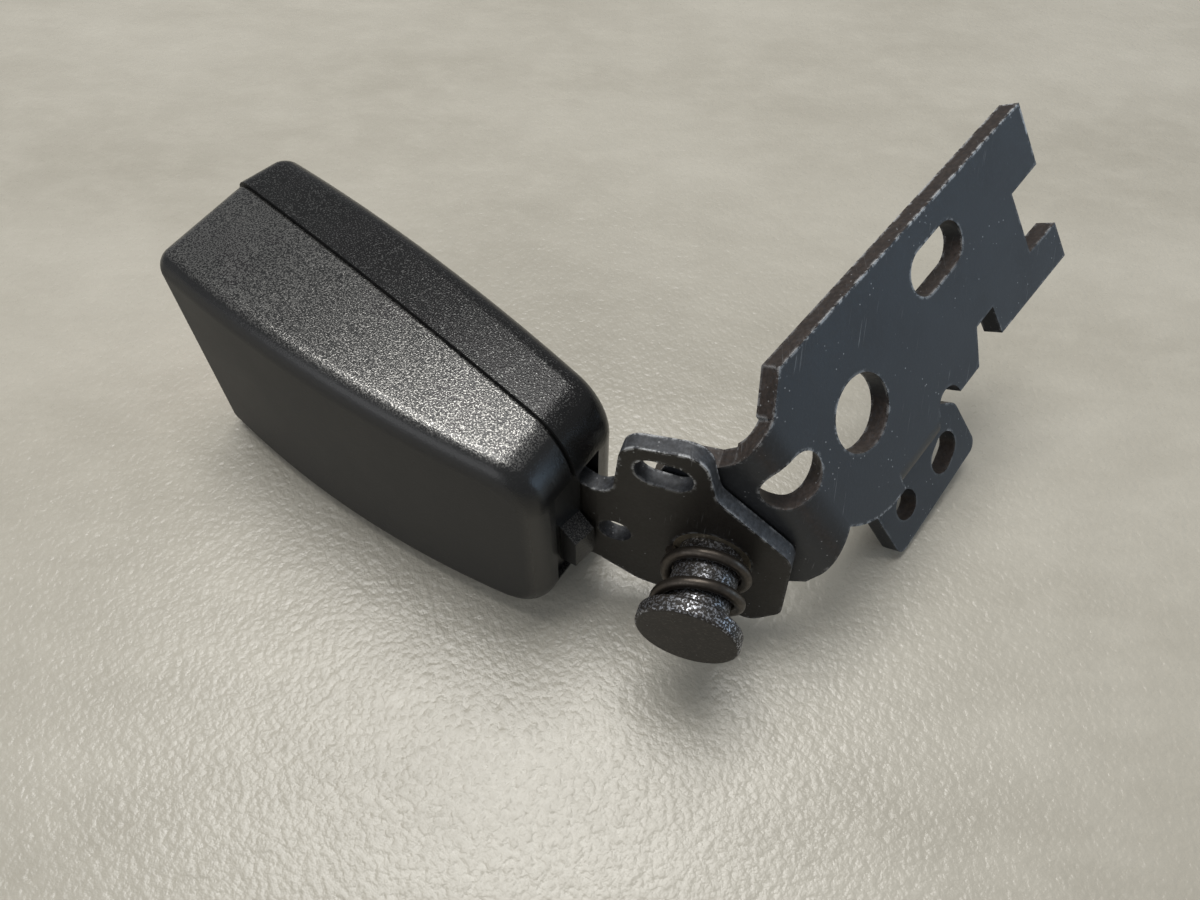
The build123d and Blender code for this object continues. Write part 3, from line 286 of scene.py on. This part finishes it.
def grained_plastic(name, colour, shine, depth, ior, painted_sheen=None):
    """Black moulded plastic with a spark-eroded grain of a given depth.

    The broad faces are dull and the rest has the roughness shine. On the two long sides a share
    of the grain can be painted grey and metallic, a painted sheen, given as its share and
    colour.
    """
    recipe = Recipe(name)
    grain = recipe.noise(**GRAIN)
    lumps = recipe.noise(**LUMPS)
    patches = recipe.noise(**PATCHES)
    relief = recipe.math("ADD", grain, recipe.math("MULTIPLY", lumps, LUMP_HEIGHT))
    tint = recipe.mix(recipe.ramp(patches, MIDDLE), colour, scaled(colour, PATCH_TINT))
    tops = recipe.ramp(grain, GRAIN_TOPS, GRAIN_TOP_MIX)
    tint = recipe.mix(tops, tint, scaled(colour, GRAIN_TOP_TINT))
    dust = recipe.math("MULTIPLY", recipe.specks(**DUST), DUST_MIX)
    tint = recipe.mix(dust, tint, DUST_COLOUR)
    off_face = recipe.ramp(recipe.along(HOUSING_FACE), OFF_FACE_SPAN)
    dullness = recipe.ramp(off_face, UNIT, (DULL_ROUGHNESS, shine))
    roughness = recipe.math("ADD", dullness, recipe.ramp(patches, MIDDLE, PATCH_ROUGHNESS))
    # Painted sheen: grey metallic grains on the two long sides stand in for the lamp's sheen on
    # the plastic.
    if painted_sheen:
        share, sheen_colour = painted_sheen
        shining = recipe.ramp(grain, (SHEEN_GRAIN_LOW - share, SHEEN_GRAIN_HIGH - share))
        on_side = recipe.ramp(recipe.along(HOUSING_SIDE), LONG_SIDE_SPAN)
        sheen_mask = recipe.math("MULTIPLY", shining, on_side)
        tint = recipe.mix(sheen_mask, tint, sheen_colour)
        recipe.set(Metallic=sheen_mask)
    recipe.set(
        Base_Color=tint,
        Roughness=roughness,
        Normal=recipe.bump(relief, depth),
        IOR=ior,
    )
    return recipe.material


GLOSS_FINE = {"size": 0.9 * MM}
GLOSS_SPAN = (0.3, 0.8)
GLOSS_TINT = 0.85
GLOSS_ROUGHNESS = (0.24, 0.34)
GLOSS_DEPTH = 0.004 * MM


def gloss_plastic(name, colour):
    """Smooth moulded plastic, for the button."""
    recipe = Recipe(name)
    fine = recipe.noise(**GLOSS_FINE)
    tint = recipe.mix(recipe.ramp(fine, GLOSS_SPAN), colour, scaled(colour, GLOSS_TINT))
    recipe.set(
        Base_Color=tint,
        Roughness=recipe.ramp(fine, MIDDLE, GLOSS_ROUGHNESS),
        Normal=recipe.bump(fine, GLOSS_DEPTH),
    )
    return recipe.material


# ---- sheet steel --------------------------------------------------------------
PLATE_FACE = (0.826, -0.029, 0.563)   # normal of the bracket's main plate
LUG_FACE = (0.402, -0.916, 0.0)       # normal of the two lugs and axis of the pivot

SHEET_CLOUDS = {"size": 11 * MM, "detail": 4.0, "roughness": 0.6}
SHEET_FINE = {"size": 0.7 * MM, "detail": 4.0, "roughness": 0.7}
CLOUD_TINTS = (0.88, 1.12)
CUT_SPAN = (0.93, 0.75)               # of how far the surface faces as the sheet does
CUT_STREAKS = {"size": 0.9 * MM, "detail": 4.0, "roughness": 0.7}
CUT_STREAK_SPAN = (0.4, 0.7)
CUT_STREAK_TINT = 2.2
FINE_SPAN = (0.5, 0.75)
FINE_MIX = (0.0, 0.5)
FINE_TINT = 2.0

BARE_COLOUR = (0.52, 0.53, 0.54)
RIM_WIDTH = 0.95 * MM
CHIPS = {"size": 1.5 * MM, "detail": 5.0, "roughness": 0.75}
CHIP_SPAN = (0.47, 0.55)
PALE_RIM_BLUR = 3 * MM                    # of the height above which the rims are pale most
WORN_PLACES = {"size": 13 * MM, "detail": 2.0}
WORN_SPAN = (0.45, 0.62)
WORN_SHARES = (0.10, 0.55)
SHEET_SPECKS = {"size": 1.2 * MM, "reach": 0.13, "patch": 6 * MM, "share": 0.50}
SCRATCHES = {
    "size": 9 * MM,
    "detail": 3.0,
    "stretch": (0.02, 1.0, 1.0),
    "turn": radians(35),
}
SCRATCH_SPAN = (0.66, 0.70)
SCRATCH_MIX = (0.0, 0.5)
SCRATCHED_CLOUDS = (0.5, 0.62)

SHEET_METALLIC = 0.3
CLOUD_ROUGHNESS = (0.43, 0.54)
FINE_ROUGHNESS_SPAN = (0.4, 0.7)
FINE_ROUGHNESS = (-0.05, 0.06)
CUT_ROUGHNESS = (0.0, 0.1)
SHEET_DEPTH = 0.025 * MM


def blackened_steel(name, colour, cut_colour_and_reflection, faces, pale_rims_above, chips, specks):
    """Phosphated sheet steel: sheet faces, cut edges, bare metal at the corners.

    The rims are pale in places, and most above the given height. Chips and specks are how
    strongly the pale rims and the specks and scratches show.
    """
    recipe = Recipe(name)
    clouds = recipe.noise(**SHEET_CLOUDS)
    fine = recipe.noise(**SHEET_FINE)
    dark, pale = (scaled(colour, tint) for tint in CLOUD_TINTS)
    tint = recipe.mix(recipe.ramp(clouds, MIDDLE), dark, pale)
    cut = recipe.math("MAXIMUM", *(recipe.along(face) for face in faces))
    cut = recipe.ramp(cut, CUT_SPAN)
    streaks = recipe.ramp(recipe.noise(**CUT_STREAKS), CUT_STREAK_SPAN)
    # The cut edges' colour is partly their own and partly painted reflection of the window or
    # the table, as the piece's edges face.
    cut_tint_and_reflection = recipe.mix(streaks, cut_colour_and_reflection, scaled(cut_colour_and_reflection, CUT_STREAK_TINT))
    tint = recipe.mix(cut, tint, cut_tint_and_reflection)
    tint = recipe.mix(recipe.ramp(fine, FINE_SPAN, FINE_MIX), tint, scaled(colour, FINE_TINT))

    rim = recipe.edge(RIM_WIDTH)
    broken = recipe.ramp(recipe.noise(**CHIPS), CHIP_SPAN)
    # The rims are pale most above the given height.
    high = recipe.ramp(recipe.height(), (pale_rims_above - PALE_RIM_BLUR, pale_rims_above + PALE_RIM_BLUR))
    places = recipe.ramp(recipe.noise(**WORN_PLACES), WORN_SPAN, WORN_SHARES)
    places = recipe.math("MAXIMUM", places, high)
    pale_rims = recipe.math("MULTIPLY", rim, broken, places, chips)
    dots = recipe.math("MULTIPLY", recipe.specks(**SHEET_SPECKS), specks)
    lines = recipe.ramp(recipe.noise(**SCRATCHES), SCRATCH_SPAN, SCRATCH_MIX)
    lines = recipe.math("MULTIPLY", lines, recipe.ramp(clouds, SCRATCHED_CLOUDS), specks)
    bare = recipe.math("MAXIMUM", pale_rims, dots, lines)
    tint = recipe.mix(bare, tint, BARE_COLOUR)

    uneven = recipe.math(
        "ADD",
        recipe.ramp(fine, FINE_ROUGHNESS_SPAN, FINE_ROUGHNESS),
        recipe.ramp(cut, UNIT, CUT_ROUGHNESS),
    )
    roughness = recipe.math("ADD", recipe.ramp(clouds, MIDDLE, CLOUD_ROUGHNESS), uneven)
    recipe.set(
        Base_Color=tint,
        Metallic=SHEET_METALLIC,
        Roughness=roughness,
        Normal=recipe.bump(fine, SHEET_DEPTH),
    )
    return recipe.material


# ---- drawn and turned steel ---------------------------------------------------
PLAIN_FINE = {"size": 1.0 * MM, "detail": 4.0, "roughness": 0.65}
PLAIN_DARK_SPAN = (0.35, 0.7)
PLAIN_DARK_TINT = 0.55
PLAIN_PALE_SPAN = (0.68, 0.8)
PLAIN_PALE_MIX = (0.0, 0.5)
PLAIN_PALE_TINT = 2.5
PLAIN_METALLIC = 0.8
PLAIN_SMOOTHER = 0.06
PLAIN_ROUGHER = 0.10
PLAIN_DEPTH = 0.02 * MM


def plain_steel(name, colour, roughness):
    """Drawn or pressed steel with a fine uneven finish."""
    recipe = Recipe(name)
    fine = recipe.noise(**PLAIN_FINE)
    dark = scaled(colour, PLAIN_DARK_TINT)
    pale = scaled(colour, PLAIN_PALE_TINT)
    tint = recipe.mix(recipe.ramp(fine, PLAIN_DARK_SPAN), colour, dark)
    tint = recipe.mix(recipe.ramp(fine, PLAIN_PALE_SPAN, PLAIN_PALE_MIX), tint, pale)
    uneven = (roughness - PLAIN_SMOOTHER, roughness + PLAIN_ROUGHER)
    recipe.set(
        Base_Color=tint,
        Metallic=PLAIN_METALLIC,
        Roughness=recipe.ramp(fine, MIDDLE, uneven),
        Normal=recipe.bump(fine, PLAIN_DEPTH),
    )
    return recipe.material


STUD_DARK = (0.0115, 0.0095, 0.0078)
STUD_PALE = (0.020, 0.0165, 0.0135)
STUD_DIRT = (0.060, 0.053, 0.045)
STUD_BARE = (0.36, 0.37, 0.40)
STUD_CLOUDS = {"size": 3.5 * MM, "detail": 4.0}
STUD_CRACKLE = {"size": 0.42 * MM, "detail": 4.0, "roughness": 0.65}
STUD_FINE = {"size": 0.55 * MM, "detail": 3.0, "roughness": 0.7}
STUD_SPECKS = {"size": 1.1 * MM, "reach": 0.12, "patch": 4 * MM, "share": 0.5}
STUD_SPECK_MIX = 0.35
STUD_DIRT_SPAN = (0.52, 0.72)
ROUND_SIDE_SPAN = (0.96, 0.80)        # of how far the surface faces along the axis
CRACKLE_SPAN = (0.52, 0.59)
STUD_METALLIC = (0.25, 0.85)          # where coated, where bare
STUD_ROUGHNESS = (0.55, 0.28)
STUD_DEPTH = 0.03 * MM


def crackled_steel(name, axis):
    """Turned stud: plain dark end face, rim and shank broken to bare metal."""
    recipe = Recipe(name)
    crackle = recipe.noise(**STUD_CRACKLE)
    tint = recipe.mix(recipe.ramp(recipe.noise(**STUD_CLOUDS), MIDDLE), STUD_DARK, STUD_PALE)
    tint = recipe.mix(recipe.ramp(recipe.noise(**STUD_FINE), STUD_DIRT_SPAN), tint, STUD_DIRT)
    round_side = recipe.ramp(recipe.along(axis), ROUND_SIDE_SPAN)
    broken = recipe.math("MULTIPLY", recipe.ramp(crackle, CRACKLE_SPAN), round_side)
    dots = recipe.math("MULTIPLY", recipe.specks(**STUD_SPECKS), STUD_SPECK_MIX)
    bare = recipe.math("MAXIMUM", broken, dots)
    recipe.set(
        Base_Color=recipe.mix(bare, tint, STUD_BARE),
        Metallic=recipe.ramp(bare, UNIT, STUD_METALLIC),
        Roughness=recipe.ramp(bare, UNIT, STUD_ROUGHNESS),
        Normal=recipe.bump(crackle, STUD_DEPTH),
    )
    return recipe.material


# ---- finish of each piece -----------------------------------------------------
FRONT_BLACK = (0.0085, 0.0085, 0.0085)
# Painted shade: the rear cover's black is darker than the front's.
REAR_SHADED_BLACK = scaled(FRONT_BLACK, 0.9)
INNER_BLACK = scaled(FRONT_BLACK, 1.6)
# Painted sheen of the housing's long sides, as its share of the grain and its grey colour.
FRONT_PAINTED_SHEEN = (0.145, (0.25, 0.246, 0.235))      # share and colour
# Painted shade: the rear cover's painted sheen is weaker than the front's.
REAR_SHADED_SHEEN = (0.05, (0.19, 0.19, 0.185))
HOUSING_DEPTH = 0.045 * MM

# A finish for each slot of the CAD, and for the rear cover a darker copy of the housing plastic,
# which is painted shade.
finishes = {
    "housing": grained_plastic(
        "housing_plastic",
        colour=FRONT_BLACK,
        shine=0.25,
        depth=HOUSING_DEPTH,
        ior=1.5,
        painted_sheen=FRONT_PAINTED_SHEEN,
    ),
    "inner_plastic": grained_plastic(
        "inner_plastic",
        colour=INNER_BLACK,
        shine=0.42,
        depth=0.01 * MM,
        ior=1.5,
    ),
    # Partly painted reflection: the plate's bluish tone and brownish cut edges, and the strap's
    # brownish tone and lighter, bluish cut edges, follow how these surfaces face the window and
    # the table.
    "steel_plate": blackened_steel(
        "steel_plate",
        colour=(0.0265, 0.0285, 0.0320),
        cut_colour_and_reflection=(0.026, 0.0195, 0.0165),
        faces=(PLATE_FACE, LUG_FACE),
        pale_rims_above=57 * MM,
        chips=1.0,
        specks=0.5,
    ),
    "steel_strap": blackened_steel(
        "steel_strap",
        colour=(0.0145, 0.0122, 0.0098),
        cut_colour_and_reflection=(0.036, 0.038, 0.042),
        faces=(LUG_FACE,),
        pale_rims_above=41 * MM,
        chips=0.9,
        specks=0.5,
    ),
    "stud_steel": crackled_steel("stud_steel", axis=LUG_FACE),
    "spring_steel": plain_steel("spring_steel", colour=(0.085, 0.072, 0.060), roughness=0.36),
    "inner_steel": plain_steel("inner_steel", colour=(0.5, 0.5, 0.5), roughness=0.35),
    "bush": plain_steel("bush", colour=(0.35, 0.3, 0.22), roughness=0.35),
    "button_red": gloss_plastic("button_red", colour=(0.5, 0.02, 0.012)),
}
# Painted shade: the rear cover gets a darker copy of the housing plastic, with weaker reflection
# and weaker painted sheen.
rear_shaded_finish = grained_plastic(
    "rear_plastic_painted_shade",
    colour=REAR_SHADED_BLACK,
    shine=0.20,
    depth=HOUSING_DEPTH,
    ior=1.36,
    painted_sheen=REAR_SHADED_SHEEN,
)

slot_of = {part["node"]: part["material_slot"] for part in frame["record"]["subparts"]}
for node, piece in frame["nodes"].items():
    piece.data.materials.clear()
    piece.data.materials.append(finishes[slot_of[node]])
frame["nodes"]["rear_cover"].data.materials[0] = rear_shaded_finish

# ---- springs, copied onto the buckle's body -----------------------------------
ALONG_BODY = Vector((1, 0, 0))
THROUGH_BODY = Vector((0, 1, 0))
LOW_END = 0               # of a spring's box
HIGH_END = 1
EJECTOR_TRAVEL = 10 * MM
BUTTON_TRAVEL = 5 * MM
LATCH_TRAVEL = 3 * MM     # of the latch at its spring, with the button fully in
PRESSED_SPRINGS = (
    # node, joint that presses it, its direction, end that stays, how much it shortens
    ("ejector_spring", "ejector_push", ALONG_BODY, HIGH_END, EJECTOR_TRAVEL),
    ("button_spring_upper", "button_press", ALONG_BODY, HIGH_END, BUTTON_TRAVEL),
    ("button_spring_lower", "button_press", ALONG_BODY, HIGH_END, BUTTON_TRAVEL),
    ("latch_spring", "button_press", THROUGH_BODY, LOW_END, LATCH_TRAVEL),
)

for node, joint, way, still_end, travel in PRESSED_SPRINGS:
    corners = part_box(node)
    length = (corners[HIGH_END] - corners[LOW_END]).dot(way)
    coil = bpy.data.objects.new(node + "_coil", frame["nodes"][node].data.copy())
    bpy.context.scene.collection.objects.link(coil)
    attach(coil, "buckle")
    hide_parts(node)
    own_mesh(coil)

# ---- floor --------------------------------------------------------------------
FLOOR_SIZE = 4.0
PATTERN_TURN = radians(42.8)          # heading that the pattern is stretched along
FLOOR_DARK = (0.375, 0.350, 0.292)
FLOOR_PALE = (0.495, 0.468, 0.402)
FLOOR_CLOUDS = {
    "size": 55 * MM,
    "detail": 6.0,
    "roughness": 0.62,
    "stretch": (2.2, 1.0, 1.0),
    "turn": PATTERN_TURN,
}
FLOOR_CLOUD_SPAN = (0.3, 0.72)
FLOOR_BLOTS = {
    "size": 9 * MM,
    "detail": 5.0,
    "roughness": 0.7,
    "stretch": (1.6, 1.0, 1.0),
    "turn": PATTERN_TURN,
}
BLOT_SPAN = (0.45, 0.75)
BLOT_MIX = (0.0, 0.35)
BLOT_TINT = 1.1
FLOOR_WAVES = {"size": 1.25 * MM, "detail": 2.0}
FLOOR_DIMPLES = {"size": 2.4 * MM, "detail": 1.0}
DIMPLE_HEIGHT = 0.6                   # as a share of the waves'
FLOOR_ROUGHNESS = (0.26, 0.36)
FLOOR_DEPTH = 0.21 * MM
FLOOR_IOR = 1.5


def table_top():
    """Pale warm-grey worktop with a cement pattern and a slight hammered relief."""
    recipe = Recipe("table_top")
    waves = recipe.noise(**FLOOR_WAVES)
    dimples = recipe.math("MULTIPLY", recipe.noise(**FLOOR_DIMPLES), DIMPLE_HEIGHT)
    clouds = recipe.ramp(recipe.noise(**FLOOR_CLOUDS), FLOOR_CLOUD_SPAN)
    blots = recipe.ramp(recipe.noise(**FLOOR_BLOTS), BLOT_SPAN, BLOT_MIX)
    tint = recipe.mix(clouds, FLOOR_DARK, FLOOR_PALE)
    tint = recipe.mix(blots, tint, scaled(FLOOR_PALE, BLOT_TINT))
    recipe.set(
        Base_Color=tint,
        Roughness=recipe.ramp(waves, MIDDLE, FLOOR_ROUGHNESS),
        Normal=recipe.bump(recipe.math("ADD", dimples, waves), FLOOR_DEPTH),
        IOR=FLOOR_IOR,
    )
    return recipe.material


bpy.ops.mesh.primitive_plane_add(size=FLOOR_SIZE, location=(0, 0, 0))
floor = bpy.context.active_object
floor.name = "floor"
floor.data.materials.append(table_top())
